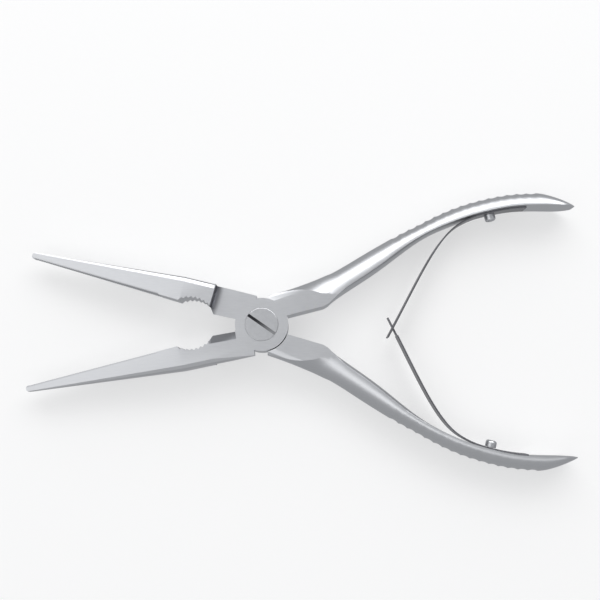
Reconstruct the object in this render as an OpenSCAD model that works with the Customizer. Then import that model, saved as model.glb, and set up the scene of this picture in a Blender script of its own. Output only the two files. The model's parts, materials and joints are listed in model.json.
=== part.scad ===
// Spring pliers in two crossed halves: long serrated jaws, a toothed pipe grip, a side
// cutter, a slotted pivot screw, scalloped handles and a pair of crossed leaf springs.
// Z is the pivot axis. The tool lies flat on z = 0, jaws along -X, handles along +X.
// A half is drawn as it lies when the jaws are shut: jaw below the X axis, handle above
// it. It is then turned by half the opening. The back half is the same shape, turned over.

/* [Overall] */
// Pivot to the tip of the jaws
jaw_len = 77; // [66:0.5:95]
// Pivot to the end of the handles
handle_len = 106.5; // [92:0.5:130]
// Thickness at the joint and width of the handles
body_t = 12; // [9.6:0.1:14.4]
// Angle between the halves when the springs hold them open
open_angle = 30.8; // [25:0.1:37]

/* [Joint] */
// Radius of the round boss around the pivot
boss_r = 8.35; // [6.9:0.01:10.1]
// Gap between a boss and the pocket it turns in
pocket_gap = 0.3; // [0.2:0.05:0.5]
// Play between the two lapped plates
lap_gap = 0.04; // [0.02:0.01:0.1]
// Half the gap between the straight shoulders of the shut handles
shoulder_gap = 0.7; // [0.4:0.05:1.2]
// Pivot to the inner corner where a handle leaves the axis
shoulder_x = 20.7; // [17:0.1:24]
// Pivot to the step where a jaw becomes full thickness
step_x = 17.4; // [15:0.1:20]

/* [Pivot screw] */
// Radius of the flush screw head
screw_head_r = 5.2; // [4.5:0.05:6]
// Depth of the screw head
screw_head_t = 2.2; // [1.6:0.1:3]
// Radius of the screw shank
screw_shank_r = 3.2; // [2.5:0.05:4]
// Radial play of the half that turns on the screw
screw_play = 0.04; // [0.02:0.01:0.1]
// Width of the driver slot
slot_w = 0.95; // [0.7:0.05:1.3]
// Depth of the driver slot
slot_depth = 1.1; // [0.6:0.1:1.5]
// Direction of the driver slot
slot_angle = -34; // [-90:1:90]

/* [Jaws] */
// Depth of a jaw at its tip
tip_depth = 1.9; // [1.4:0.1:2.6]
// Thickness of a jaw at its tip
tip_t = 3.4; // [2.6:0.1:5]
// Depth of a jaw at the step
jaw_depth = 8.15; // [7:0.05:10]
// How far the jaw and handle shoulders stand outside the boss
shoulder_rise = 0.4; // [0.2:0.05:0.8]
// Bevel along the back edges of a jaw
jaw_bevel = 1.5; // [0.8:0.1:2]
// How far that bevel falls from the flat face
bevel_fall = 0.8; // [0.5:0.1:1.5]
// Pitch of the fine grip teeth
tooth_pitch = 0.75; // [0.6:0.05:1.2]
// Depth of the fine grip teeth
tooth_depth = 0.3; // [0.2:0.05:0.5]
// Pivot to the first fine tooth
teeth_start = 34; // [32:0.5:38]
// Pivot to the crest in front of the pipe grip
crest_x = 27.4; // [26:0.1:30]
// Pivot to the deepest point of the pipe grip
hollow_x = 21.8; // [21:0.1:23]
// Depth of the pipe grip
hollow_depth = 1.95; // [1.4:0.05:2.4]
// Pitch of the pipe grip teeth
pipe_pitch = 1.4; // [1:0.05:1.8]
// Depth of the pipe grip teeth
pipe_tooth = 0.45; // [0.3:0.05:0.6]

/* [Side cutter] */
// Gap between the boss and the inner end of the cutting edge
cut_gap = 0.25; // [0.15:0.05:0.6]
// Outer end of the cutting edge
cut_far = 16.1; // [14.5:0.1:16.4]
// How far the outer end of the edge passes the axis when shut
cut_overlap = 0.85; // [0.5:0.05:1.1]
// Width of the ground bevel of the edge
cut_bevel = 2.8; // [2:0.1:3.4]
// Thickness left at the cutting edge
cut_land = 0.25; // [0.15:0.05:0.5]

/* [Handles] */
// Height of the flat inner face at its widest point
belly_y = 17.2; // [14:0.1:20]
// Height of the end of the handle
end_y = 11.9; // [9:0.1:15]
// Thickness of the handle where it leaves the shoulder
root_t = 9.3; // [8:0.1:10.5]
// Thickness of the handle along its grip
grip_t = 4.6; // [3.8:0.1:6]
// How far the inner side bulges where the handle is oval
inner_bulge = 1.2; // [0.6:0.1:1.6]
// Length of the bevel at the end of the handle
end_bevel = 10.5; // [8:0.5:13]
// Grooves across the back of the handle
groove_count = 16; // [10:1:20]
// Depth of the grooves
groove_depth = 0.4; // [0.2:0.05:0.6]
// Pivot to the first groove
groove_start = 47; // [42:0.5:52]

/* [Leaf springs] */
// Thickness of a leaf
leaf_t = 0.5; // [0.4:0.05:0.7]
// Width of a leaf
leaf_w = 5.9; // [4.8:0.1:7]
// Pivot to the place where the open leaves cross
cross_x = 41.6; // [38:0.1:46]
// Length of each leaf past the crossing
past_cross = 3.6; // [3:0.1:5]
// Slope of the leaf at its free end
leaf_slope = 47; // [43:0.5:51]
// Pivot to the clamped end of a leaf
foot_x = 91.5; // [88:0.5:94]
// Pivot to the place where a leaf starts to bend
bend_x = 70; // [68:0.5:72]
// Gap between the two parts of a leaf at the bend
bend_gap = 0.4; // [0.3:0.05:0.6]
// Width of the tongue
tongue_w = 2.1; // [1.6:0.1:2.5]
// Play of the tongue in the slot of the other leaf, each side
tongue_play = 0.3; // [0.2:0.05:0.5]
// Pivot to the spring screw
spring_screw_x = 79.9; // [78.4:0.5:82.4]
// Radius of the spring screw head
spring_head_r = 1.75; // [1.4:0.05:2]
// Height of the spring screw head
spring_head_h = 2.2; // [1.4:0.1:2.6]
// Width and depth of its driver slot
spring_slot = 0.5; // [0.4:0.05:0.7]
// Radius of the spring screw shank
spring_shank_r = 0.9; // [0.7:0.05:1.1]
// Depth of the spring screw in the handle
spring_screw_depth = 3; // [2:0.1:3.4]

/* [Hidden] */
$fn = 64;
half_open = open_angle / 2;
mid = body_t / 2;
bite = 0.04;                      // half the gap left between the shut jaws
grow = 1;                         // how far a cutting tool runs past what it cuts
pocket_r = boss_r + pocket_gap;
teeth_end = jaw_len - 1.2;
notch_x = 4.5;                    // half the width of the notch beside the boss
notch_y = boss_r + shoulder_rise - 0.15; // height of the handle shoulder at that notch
jaw_root_depth = boss_r + shoulder_rise; // depth of a jaw at its shoulder
cut_near = boss_r + cut_gap;      // pivot to the inner end of the cutting edge
groove_pitch = (handle_len - end_bevel - groove_start) / groove_count;
hole_play = 0.03;
knee_depth = 0.45;                // how much shallower the jaw is at the crest than at the step
cut_rise = 0.3;                   // height of the inner end of the cutting edge above the axis
wall_drop = 0.95;                 // depth below the axis of the wall at the end of the cutter
tip_corner = 0.5;                 // blunt corners of the jaw tip
root_inset = 2;                   // how far the shoulder reaches into the boss
oval_run = 22;                    // length over which the square root turns oval
lift = 0.65;                      // how far the leaf stands off the handle where it starts to bend
lift_run = 7;                     // length over which it lifts off
lead_in = 9;                      // how firmly the leaf holds the handle's direction at the bend
lead_out = 22;                    // how firmly it holds its slope at the free end
slot_near = 1.2;                  // free end to the near end of the slot
slot_far = 6.8;                   // free end to the far end of the slot
tongue_len = 6.4;                 // length of the tongue
seat = leaf_t + 0.1;              // the spring screw's head above the handle
screw_sink = 0.3;                 // how far its shank runs up into its head

// A smooth curve through points whose x rises, and its value at x
function span(p, x, i = 0) = (i >= len(p) - 2 || x < p[i + 1].x) ? i : span(p, x, i + 1);
function slope(p, i) =
    let (a = max(i - 1, 0), b = min(i + 1, len(p) - 1)) (p[b].y - p[a].y) / (p[b].x - p[a].x);
function curve(p, x) =
    let (i = span(p, x), w = p[i + 1].x - p[i].x, t = (x - p[i].x) / w)
    (2 * t ^ 3 - 3 * t ^ 2 + 1) * p[i].y + (t ^ 3 - 2 * t ^ 2 + t) * w * slope(p, i)
    + (3 * t ^ 2 - 2 * t ^ 3) * p[i + 1].y + (t ^ 3 - t ^ 2) * w * slope(p, i + 1);
function clamp01(t) = min(1, max(0, t));
function ease(t) = let (u = clamp01(t)) u * u * (3 - 2 * u);

// Handle: the flat inner face and the thickness over it, along the handle
function along(u) = shoulder_x + u * (handle_len - shoulder_x);
inner_line = [[along(-0.25), -2.5], [along(0), shoulder_gap], [along(0.045), 0.13 * belly_y],
              [along(0.22), 0.43 * belly_y], [along(0.41), 0.81 * belly_y],
              [along(0.53), 0.955 * belly_y], [along(0.66), belly_y],
              [along(0.8), belly_y - 0.18 * (belly_y - end_y)], [along(1), end_y]];
thick_line = [[along(-0.25), root_t - 0.7], [along(0), root_t], [along(0.06), 0.87 * root_t],
              [along(0.22), 0.79 * root_t], [along(0.33), 0.65 * root_t],
              [along(0.43), 1.03 * grip_t], [along(0.6), grip_t], [along(1), grip_t + 0.3]];
function y_in(x) = max(shoulder_gap, curve(inner_line, x));
function end_cut(x) = 1 - 0.94 * clamp01((x - handle_len + end_bevel) / end_bevel) ^ 1.6;
function groove(x) =
    let (s = (x - groove_start) / groove_pitch, f = s - floor(s))
    (s < 0 || s > groove_count) ? 0 : 4 * groove_depth * f * (1 - f);
function y_thick(x) = curve(thick_line, x) * end_cut(x) - groove(x);
function half_w(x) = mid * sqrt(1 - 0.8 * clamp01((x - handle_len + mid) / mid) ^ 2);
function squareness(x) = 2.3 + 8 * (1 - ease((x - shoulder_x) / oval_run));

// The inner side is almost flat at the shoulder and under the spring, and oval between them
function bulge(x) =
    0.02 + inner_bulge * ease((x - shoulder_x) / 10) * ease((bend_x - 2 - x) / 22);

// One closed section of the handle: a rounded back and a flat or slightly bulging inner side
back_points = 12;
inner_points = 4;
function section(x) =
    let (n = squareness(x), w = half_w(x), b = bulge(x), y0 = y_in(x) + b, t = y_thick(x) - b)
    concat(
        [for (i = [0 : back_points])
            let (a = -90 + 180 * i / back_points, s = sin(a), c = max(cos(a), 0))
            [x, y0 + t * c ^ (2 / n), mid + w * sign(s) * abs(s) ^ (2 / n)]],
        [for (i = [1 : inner_points - 1])
            let (a = 90 - 180 * i / inner_points)
            [x, y0 - b * cos(a), mid + w * sin(a)]]);
stations = concat(
    [for (x = [shoulder_x - 4 : 2.2 : groove_start - 1]) x],
    [for (i = [0 : 4 * groove_count]) groove_start + i * groove_pitch / 4],
    [for (i = [1 : 8]) handle_len - end_bevel + i * end_bevel / 8]);

module swept_handle() {
    n = len(section(stations[0]));
    m = len(stations);
    points = [for (x = stations) each section(x)];
    faces = concat(
        [[for (i = [0 : n - 1]) i]],
        [for (k = [0 : m - 2], i = [0 : n - 1])
            let (j = (i + 1) % n) [k * n + i, (k + 1) * n + i, (k + 1) * n + j, k * n + j]],
        [[for (i = [n - 1 : -1 : 0]) (m - 1) * n + i]]);
    polyhedron(points, faces, convexity = 6);
}

// Straight root of the handle, from the boss to the inner corner
module shoulder_outline() {
    back_y = shoulder_gap + y_thick(shoulder_x);
    polygon([[notch_x - 0.4, notch_y - root_inset], [notch_x, notch_y],
             [0.75 * shoulder_x, 0.6 * notch_y + 0.4 * back_y], [shoulder_x, back_y],
             [shoulder_x, shoulder_gap], [boss_r - 0.4, shoulder_gap], [4, 3]]);
}

// Jaw seen along the pivot: pipe grip with coarse teeth, smooth land, fine teeth, blunt tip
module jaw_outline() {
    hollow_r = ((crest_x - hollow_x) ^ 2 + hollow_depth ^ 2) / (2 * hollow_depth);
    hollow_y = hollow_r - hollow_depth;
    function hollow(x) = hollow_y - sqrt(hollow_r ^ 2 - (x - hollow_x) ^ 2);
    pipe_teeth = floor((crest_x - step_x) / pipe_pitch);
    pipe_step = (crest_x - step_x) / pipe_teeth;
    fine_teeth = floor((teeth_end - teeth_start) / tooth_pitch);
    fine_step = (teeth_end - teeth_start) / fine_teeth;
    polygon(concat(
        [for (i = [0 : pipe_teeth - 1]) each
            let (x = step_x + i * pipe_step)
            [[-x, hollow(x) - bite], [-x - pipe_step / 2, hollow(x + pipe_step / 2) - pipe_tooth]]],
        [[-crest_x, -bite], [-teeth_start, -bite]],
        [for (i = [0 : fine_teeth - 1]) each
            let (x = teeth_start + i * fine_step)
            [[-x - fine_step / 2, -tooth_depth - bite], [-x - fine_step, -bite]]],
        [[-jaw_len + tip_corner, -bite], [-jaw_len, -tip_corner], [-jaw_len, tip_corner - tip_depth],
         [-jaw_len + tip_corner, -tip_depth], [-crest_x, knee_depth - jaw_depth],
         [-step_x, -jaw_depth]]));
}

// Sides of the jaw seen along Y: full thickness at the pipe grip, thin at the tip
module jaw_sides() {
    nip = (body_t - tip_t) / 2;
    translate([0, grow, 0]) rotate([90, 0, 0]) linear_extrude(jaw_depth + 2 * grow)
        polygon([[-step_x, 0], [-crest_x, 0], [-jaw_len - grow, nip],
                 [-jaw_len - grow, body_t - nip], [-crest_x, body_t], [-step_x, body_t]]);
}

// Bevel along one edge, cut by a flat diamond bar whose middle runs from a to b
module edge_bevel(a, b) {
    d = b - a;
    run = norm([d.x, d.y]);
    translate(a) rotate([0, 0, atan2(d.y, d.x)]) rotate([0, -atan2(d.z, run), 0])
        translate([-0.5, 0, 0]) rotate([90, 0, 90]) linear_extrude(norm(d) + 1)
            polygon([[-jaw_bevel, 0], [0, -bevel_fall], [jaw_bevel, 0], [0, bevel_fall]]);
}

// Bevels along the two back edges of the jaw, narrower at the tip
module jaw_bevels() {
    off = 0.45;
    knee = [-crest_x, knee_depth - jaw_depth, mid];
    heel = [-step_x, -jaw_depth, mid];
    for (side = [-mid, mid]) {
        edge_bevel([-jaw_len, -tip_depth - off, mid + side * (tip_t / 2 + off) / mid],
                   knee + [0, 0, side]);
        edge_bevel(knee + [0, 0, side], heel + [0, 0, side]);
    }
}

// Half-thickness plate: boss, cutter web and the root of the handle
module plate_outline() {
    circle(boss_r, $fn = 96);
    shoulder_outline();
    polygon([[-step_x - 0.3, -jaw_depth], [-step_x - 0.1, -wall_drop], [-cut_far, cut_overlap],
             [-cut_near, cut_rise], [-4, 0], [-4, -6], [0.2 - notch_x, 1.2 - jaw_root_depth],
             [-notch_x, -jaw_root_depth], [-12.5, -0.5 * (jaw_depth + jaw_root_depth)]]);
}

// Ground bevel of the cutting edge, on the outer face of the plate
module cutter_bevel() {
    fall = atan2(cut_overlap - cut_rise, cut_far - cut_near);
    translate([-cut_near, cut_rise, 0]) rotate([0, 0, -fall])
        rotate([90, 0, -90])
            linear_extrude(cut_far - cut_near + 3)
                polygon([[0, mid + lap_gap / 2 + cut_land], [cut_bevel, body_t],
                         [cut_bevel, body_t + grow], [-grow, body_t + grow],
                         [-grow, mid + lap_gap / 2 + cut_land]]);
}

// Frame on the inner face of the handle at the spring screw: Z runs into the handle
screw_slope = atan2(y_in(spring_screw_x + 1) - y_in(spring_screw_x - 1), 2);
module at_spring_screw() {
    translate([spring_screw_x, y_in(spring_screw_x), mid]) rotate([0, 0, screw_slope])
        rotate([-90, 0, 0]) children();
}

// One half, shut, with its plate uppermost
module half_body() {
    fade = 0.6;                   // the bevel runs out to nothing at the notch
    bevel_end = [1 - notch_x, -jaw_root_depth - fade, body_t + fade];
    difference() {
        union() {
            difference() {
                translate([0, 0, mid + lap_gap / 2]) linear_extrude(mid - lap_gap / 2)
                    plate_outline();
                cutter_bevel();
                edge_bevel([-step_x, -jaw_depth, body_t], bevel_end);
            }
            linear_extrude(body_t) difference() {
                shoulder_outline();
                circle(pocket_r, $fn = 96);
            }
            difference() {
                intersection() {
                    linear_extrude(body_t) jaw_outline();
                    jaw_sides();
                }
                jaw_bevels();
            }
            swept_handle();
        }
        at_spring_screw() translate([0, 0, -0.5])
            cylinder(r = spring_shank_r + hole_play, h = spring_screw_depth + 0.6);
    }
}

module place_front() { rotate([0, 0, half_open]) children(); }
module place_back() {
    rotate([0, 0, -half_open]) translate([0, 0, body_t]) rotate([180, 0, 0]) children();
}

module front_half() {
    color("silver") difference() {
        place_front() half_body();
        translate([0, 0, mid - grow])
            cylinder(r = screw_shank_r + screw_play, h = mid + 2 * grow);
        translate([0, 0, body_t - screw_head_t])
            cylinder(r = screw_head_r + screw_play, h = screw_head_t + grow);
    }
}

module back_half() {
    color("silver") difference() {
        place_back() half_body();
        translate([0, 0, -grow])
            cylinder(r = screw_shank_r + hole_play, h = mid + 2 * grow);
    }
}

module pivot_screw() {
    color("lightgray") difference() {
        union() {
            cylinder(r = screw_shank_r, h = body_t - screw_head_t / 2);
            translate([0, 0, body_t - screw_head_t + hole_play])
                cylinder(r = screw_head_r, h = screw_head_t - hole_play);
        }
        rotate([0, 0, slot_angle]) translate([-screw_head_r - grow, -slot_w / 2, body_t - slot_depth])
            cube([2 * (screw_head_r + grow), slot_w, slot_depth + grow]);
    }
}

// Leaf springs: the clamped foot follows the handle and then lifts off it, and the blade
// runs in a smooth sweep to the crossing on the axis
foot_gap = 0.02;
function foot_y(x) =
    let (run = clamp01((bend_x + lift_run - x) / lift_run))
    y_in(x) - leaf_t / 2 - foot_gap - lift * run ^ 2;
bend = [bend_x, foot_y(bend_x)];
bend_slope = atan2(foot_y(bend_x + 1) - foot_y(bend_x), 1);
crossing = cross_x * [cos(half_open), -sin(half_open)];
free_end = crossing - past_cross * [cos(leaf_slope), sin(leaf_slope)];
function bezier(p, t) =
    (1 - t) ^ 3 * p[0] + 3 * t * (1 - t) ^ 2 * p[1] + 3 * t ^ 2 * (1 - t) * p[2] + t ^ 3 * p[3];
blade_control = [bend, bend - lead_in * [cos(bend_slope), sin(bend_slope)],
                 free_end + lead_out * [cos(leaf_slope), sin(leaf_slope)], free_end];
blade_first = bend_gap / 2 / (3 * lead_in);
blade_path = [for (i = [0 : 20]) bezier(blade_control, blade_first + (1 - blade_first) * i / 20)];
foot_path = [for (i = [0 : 16])
    let (x = foot_x + (bend_x + bend_gap / 2 - foot_x) * i / 16) [x, foot_y(x)]];

// Both edges of a strip of the leaf's thickness along a path
function side(path, i, s) =
    let (a = path[max(i - 1, 0)], b = path[min(i + 1, len(path) - 1)], d = (b - a) / norm(b - a))
    path[i] + s * leaf_t / 2 * [-d.y, d.x];
module strip(path) {
    n = len(path);
    polygon(concat([for (i = [0 : n - 1]) side(path, i, 1)],
                   [for (i = [n - 1 : -1 : 0]) side(path, i, -1)]));
}

module leaf_foot() {
    difference() {
        translate([0, 0, mid - leaf_w / 2]) linear_extrude(leaf_w) strip(foot_path);
        at_spring_screw() translate([0, 0, -2])
            cylinder(r = spring_shank_r + hole_play, h = 3);
    }
}

// Frame at the free end of the blade: X runs back along the blade
module at_free_end() {
    translate([free_end.x, free_end.y, mid]) rotate([0, 0, leaf_slope]) children();
}

module slotted_blade() {
    slot_width = tongue_w + 2 * tongue_play;
    difference() {
        translate([0, 0, mid - leaf_w / 2]) linear_extrude(leaf_w) strip(blade_path);
        at_free_end() translate([slot_near, -2, -slot_width / 2])
            cube([slot_far - slot_near, 4, slot_width]);
    }
}

module tongue_blade() {
    difference() {
        translate([0, 0, mid - leaf_w / 2]) linear_extrude(leaf_w) strip(blade_path);
        for (low = [-leaf_w / 2 - grow, tongue_w / 2])
            at_free_end() translate([-grow, -2, low])
                cube([tongue_len + grow, 4, (leaf_w - tongue_w) / 2 + grow]);
    }
}

module upper_leaf_foot() { color("gainsboro") place_front() leaf_foot(); }
module upper_leaf_blade() { color("gainsboro") place_front() slotted_blade(); }
module lower_leaf_foot() { color("gainsboro") place_back() leaf_foot(); }
module lower_leaf_blade() { color("gainsboro") place_back() tongue_blade(); }

// Small slotted screw with a domed head, through the foot of a leaf into the handle
module spring_screw() {
    dome = 0.4 * spring_head_h;
    dome_r = (spring_head_r ^ 2 + dome ^ 2) / (2 * dome);
    at_spring_screw() {
        translate([0, 0, -seat]) difference() {
            intersection() {
                translate([0, 0, dome_r - spring_head_h]) sphere(dome_r);
                translate([0, 0, -spring_head_h - grow])
                    cylinder(r = spring_head_r, h = spring_head_h + grow);
            }
            translate([-spring_head_r - grow, -spring_slot / 2, -spring_head_h - grow])
                cube([2 * (spring_head_r + grow), spring_slot, grow + spring_slot]);
        }
        translate([0, 0, -seat - screw_sink])
            cylinder(r = spring_shank_r, h = spring_screw_depth + seat);
    }
}
module upper_spring_screw() { color("gray") place_front() spring_screw(); }
module lower_spring_screw() { color("gray") place_back() spring_screw(); }

front_half();
back_half();
pivot_screw();
upper_leaf_foot();
upper_leaf_blade();
lower_leaf_foot();
lower_leaf_blade();
upper_spring_screw();
lower_spring_screw();
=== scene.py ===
# %% [markdown]
# # Long-nose spring pliers
# The tool is two identical forged halves, screwed together with a half-lap joint, and a
# pair of leaf springs that hold them open. This script gives them their finished look.
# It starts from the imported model, which fixes the sizes, the places and the joints.

# %% Load the frame
import json
import math
import bmesh
import bpy
from mathutils import Matrix, Vector


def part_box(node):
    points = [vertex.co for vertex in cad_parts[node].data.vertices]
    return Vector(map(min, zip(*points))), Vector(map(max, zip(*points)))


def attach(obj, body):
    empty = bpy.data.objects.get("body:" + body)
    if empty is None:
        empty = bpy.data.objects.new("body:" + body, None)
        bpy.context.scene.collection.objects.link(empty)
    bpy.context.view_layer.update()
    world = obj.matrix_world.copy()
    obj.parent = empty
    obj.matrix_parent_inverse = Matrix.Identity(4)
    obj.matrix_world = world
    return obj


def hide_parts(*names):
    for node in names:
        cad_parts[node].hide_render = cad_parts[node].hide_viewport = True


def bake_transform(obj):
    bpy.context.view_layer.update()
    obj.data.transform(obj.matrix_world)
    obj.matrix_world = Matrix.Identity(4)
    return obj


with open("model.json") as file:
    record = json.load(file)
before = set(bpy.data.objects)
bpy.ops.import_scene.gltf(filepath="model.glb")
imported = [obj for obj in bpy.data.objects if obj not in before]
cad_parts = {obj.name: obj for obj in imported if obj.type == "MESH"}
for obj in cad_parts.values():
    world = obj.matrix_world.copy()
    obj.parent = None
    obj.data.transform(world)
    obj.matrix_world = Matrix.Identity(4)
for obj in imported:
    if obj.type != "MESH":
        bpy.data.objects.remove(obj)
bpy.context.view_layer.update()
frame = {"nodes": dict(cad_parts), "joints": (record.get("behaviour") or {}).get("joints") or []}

# %% [markdown]
# Small steel parts are easier to think about in millimetres, and some of Blender's tools
# merge points that are closer than a tenth of a millimetre. So each piece is modelled with
# one Blender unit as one millimetre, and it is scaled to metres when it is finished.
# The driving sizes are those of the real part. The thickness and the angle at which the
# springs hold the halves open are read from the frame.

# %% Driving sizes, in millimetres and degrees
MM = 0.001
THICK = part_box("pivot_screw")[1].z / MM
MID = THICK / 2
OPEN = -frame["joints"][0]["range_deg"][0] / 2
LAP_GAP = 0.04
BOSS_R = 8.35
POCKET_R = BOSS_R + 0.3
JAW_LEN = 77
HANDLE_LEN = 106.5
print("thickness", round(THICK, 2), "mm, each half turned", round(OPEN, 2), "degrees")

# %% [markdown]
# A Blender operator acts on whatever is selected. These helpers make one piece the only
# selected one, and pick points, edges or faces of it by a test, as a person would click
# on them. Each test gets one point, edge or face and says yes or no.


# %% Helpers: choosing what an operator acts on
def only(piece):
    bpy.ops.object.select_all(action="DESELECT")
    piece.select_set(True)
    bpy.context.view_layer.objects.active = piece


def open_for_edit(piece):
    only(piece)
    bpy.ops.object.mode_set(mode="EDIT")


def close_edit():
    bpy.ops.object.mode_set(mode="OBJECT")


def pick(piece, kind, test):
    bpy.ops.mesh.select_mode(type=kind)
    bpy.ops.mesh.select_all(action="DESELECT")
    shape = bmesh.from_edit_mesh(piece.data)
    rows = {"VERT": shape.verts, "EDGE": shape.edges, "FACE": shape.faces}[kind]
    chosen = [row for row in rows if test(row)]
    for row in chosen:
        row.select_set(True)
    shape.select_flush_mode()
    bmesh.update_edit_mesh(piece.data)
    return len(chosen)


# %% [markdown]
# Five more helpers. `slab` makes a flat plate of any outline: a disc with as many corners
# as the outline, each corner moved to its place, then extruded. `combine` joins or cuts two
# solids with a Boolean modifier and applies it. `trim` slices a solid with a plane and caps
# the cut, which is how flat faces are ground on it. `rod` and `block` are an upright
# cylinder and a turned box.

# %% Helpers: slab, combine, trim, rod and block
ROD_SIDES = 96


def new_piece(name):
    piece = bpy.context.object
    piece.name = piece.data.name = name
    return piece


def place_mesh(piece):
    only(piece)
    bpy.ops.object.transform_apply(location=True, rotation=True, scale=True)


def slab(name, outline, low, high):
    bpy.ops.object.select_all(action="DESELECT")
    bpy.ops.mesh.primitive_circle_add(vertices=len(outline), radius=1, fill_type="NGON",
                                      location=(0, 0, low))
    piece = new_piece(name)
    place_mesh(piece)
    open_for_edit(piece)
    bpy.ops.mesh.select_mode(type="VERT")
    for number, (x, y) in enumerate(outline):
        bpy.ops.mesh.select_all(action="DESELECT")
        shape = bmesh.from_edit_mesh(piece.data)
        shape.verts.ensure_lookup_table()
        corner = shape.verts[number]
        corner.select_set(True)
        bpy.ops.transform.translate(value=(x - corner.co.x, y - corner.co.y, 0))
    bpy.ops.mesh.select_all(action="SELECT")
    bpy.ops.mesh.extrude_region_move(TRANSFORM_OT_translate={"value": (0, 0, high - low)})
    bpy.ops.mesh.select_all(action="SELECT")
    bpy.ops.mesh.normals_make_consistent(inside=False)
    close_edit()
    return piece


def combine(piece, other, how):
    step = piece.modifiers.new("combine", "BOOLEAN")
    step.operation = how
    step.solver = "EXACT"
    step.object = other
    only(piece)
    bpy.ops.object.modifier_apply(modifier=step.name)
    bpy.data.objects.remove(other)
    return piece


def trim(piece, point, outward):
    open_for_edit(piece)
    bpy.ops.mesh.select_all(action="SELECT")
    bpy.ops.mesh.bisect(plane_co=point, plane_no=outward, use_fill=True, clear_outer=True,
                        threshold=1e-5)
    close_edit()


def rod(name, radius, low, high):
    bpy.ops.object.select_all(action="DESELECT")
    bpy.ops.mesh.primitive_cylinder_add(vertices=ROD_SIDES, radius=radius, depth=high - low,
                                        location=(0, 0, (low + high) / 2))
    piece = new_piece(name)
    place_mesh(piece)
    return piece


def block(size, matrix):
    bpy.ops.object.select_all(action="DESELECT")
    bpy.ops.mesh.primitive_cube_add(size=1)
    piece = new_piece("cut")
    piece.matrix_world = matrix @ Matrix.Diagonal((*size, 1))
    place_mesh(piece)
    return piece


# %% [markdown]
# The handle is one long sweep with a rounded back and a flatter inner side. Its inner line
# and its thickness come from smooth curves through a few points, each given as a share of
# the handle's length. Other ways would be a curve object with a bevel profile, which cannot
# change its section, or sculpting, which cannot keep a size.

# %% Sizes of the handle
SHOULDER_X, SHOULDER_GAP = 20.7, 0.7
BELLY_Y, END_Y = 17.2, 11.9
ROOT_T, GRIP_T = 9.3, 4.6
NOTCH, ROOT_RISE = (4.5, BOSS_R + 0.25), 1.5
END_BEVEL, END_TAPER, END_RISE = 10.5, 0.88, 1.6
GROOVE_START, GROOVE_COUNT, GROOVE_DEPTH = 47, 16, 0.3
GROOVE_PITCH = (HANDLE_LEN - END_BEVEL - GROOVE_START) / GROOVE_COUNT
BEND_X = 70
SIDE_PLAY, END_NARROWING = 0.02, 0.8
FLARE, FLARE_END, FLARE_RUN, FLARE_RISE = 2.8, 26, 10, 2.2
LEAST_BULGE, BULGE, BULGE_RISE, BULGE_FALL, BULGE_END = 0.02, 1.2, 10, 22, BEND_X - 2
ROOT_X, NECK_X, ROOT_STATIONS = 4.4, 30, 16
ROOT_STEP = (NECK_X - ROOT_X) / ROOT_STATIONS
NECK_STATIONS, END_STATIONS, STATIONS_PER_GROOVE = 8, 14, 6
print("handle grooves:", GROOVE_COUNT, "at", round(GROOVE_PITCH, 2), "mm pitch")


# %% The lines of the handle
def clamp(t):
    return min(1, max(0, t))


def ease(t):
    return clamp(t) ** 2 * (3 - 2 * clamp(t))


def curve(points, x):
    last = len(points) - 1
    i = next((k for k in range(last - 1) if x < points[k + 1][0]), last - 1)

    def slope(k):
        (x0, y0), (x1, y1) = points[max(k - 1, 0)], points[min(k + 1, last)]
        return (y1 - y0) / (x1 - x0)

    (x0, y0), (x1, y1) = points[i], points[i + 1]
    w, t = x1 - x0, (x - x0) / (x1 - x0)
    return ((2 * t**3 - 3 * t**2 + 1) * y0 + (t**3 - 2 * t**2 + t) * w * slope(i)
            + (3 * t**2 - 2 * t**3) * y1 + (t**3 - t**2) * w * slope(i + 1))


def along(u):
    return SHOULDER_X + u * (HANDLE_LEN - SHOULDER_X)


INNER = [(along(u), y) for u, y in (
    (-0.25, -2.5), (0, SHOULDER_GAP), (0.045, 0.13 * BELLY_Y), (0.22, 0.43 * BELLY_Y),
    (0.41, 0.81 * BELLY_Y), (0.53, 0.955 * BELLY_Y), (0.66, BELLY_Y),
    (0.8, BELLY_Y - 0.18 * (BELLY_Y - END_Y)), (1, END_Y))]
THICKNESS = [(along(u), t) for u, t in (
    (-0.25, ROOT_T - 0.7), (0, ROOT_T), (0.06, 0.87 * ROOT_T), (0.22, 0.79 * ROOT_T),
    (0.33, 0.65 * ROOT_T), (0.43, 1.03 * GRIP_T), (0.6, GRIP_T), (1, GRIP_T + 0.3))]


def inner_y(x):
    return max(SHOULDER_GAP, curve(INNER, x))


def root_back(x):
    run = clamp((x - NOTCH[0]) / (SHOULDER_X - NOTCH[0]))
    return NOTCH[1] + (SHOULDER_GAP + ROOT_T - NOTCH[1]) * run**ROOT_RISE


def thickness(x):
    if x < SHOULDER_X:
        return root_back(x) - SHOULDER_GAP
    run = clamp((x - HANDLE_LEN + END_BEVEL) / END_BEVEL)
    return curve(THICKNESS, x) * (1 - END_TAPER * run**END_RISE)


def groove(x):
    place = (x - GROOVE_START) / GROOVE_PITCH
    if not 0 <= place <= GROOVE_COUNT:
        return 0
    share = place - math.floor(place)
    return 4 * GROOVE_DEPTH * share * (1 - share)


def half_width(x):
    """Wider than the joint at the root, so that the ground flats cut off its round sides."""
    flare = FLARE * max(0, (FLARE_END - x) / FLARE_RUN) ** FLARE_RISE
    end = clamp((x - HANDLE_LEN + MID) / MID)
    return (MID - SIDE_PLAY + flare) * math.sqrt(1 - END_NARROWING * end**2)


def bulge(x):
    return LEAST_BULGE + BULGE * (ease((x - SHOULDER_X) / BULGE_RISE)
                                  * ease((BULGE_END - x) / BULGE_FALL))


def steps(first, last, count):
    return [first + (last - first) * k / count for k in range(count + 1)]


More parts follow.
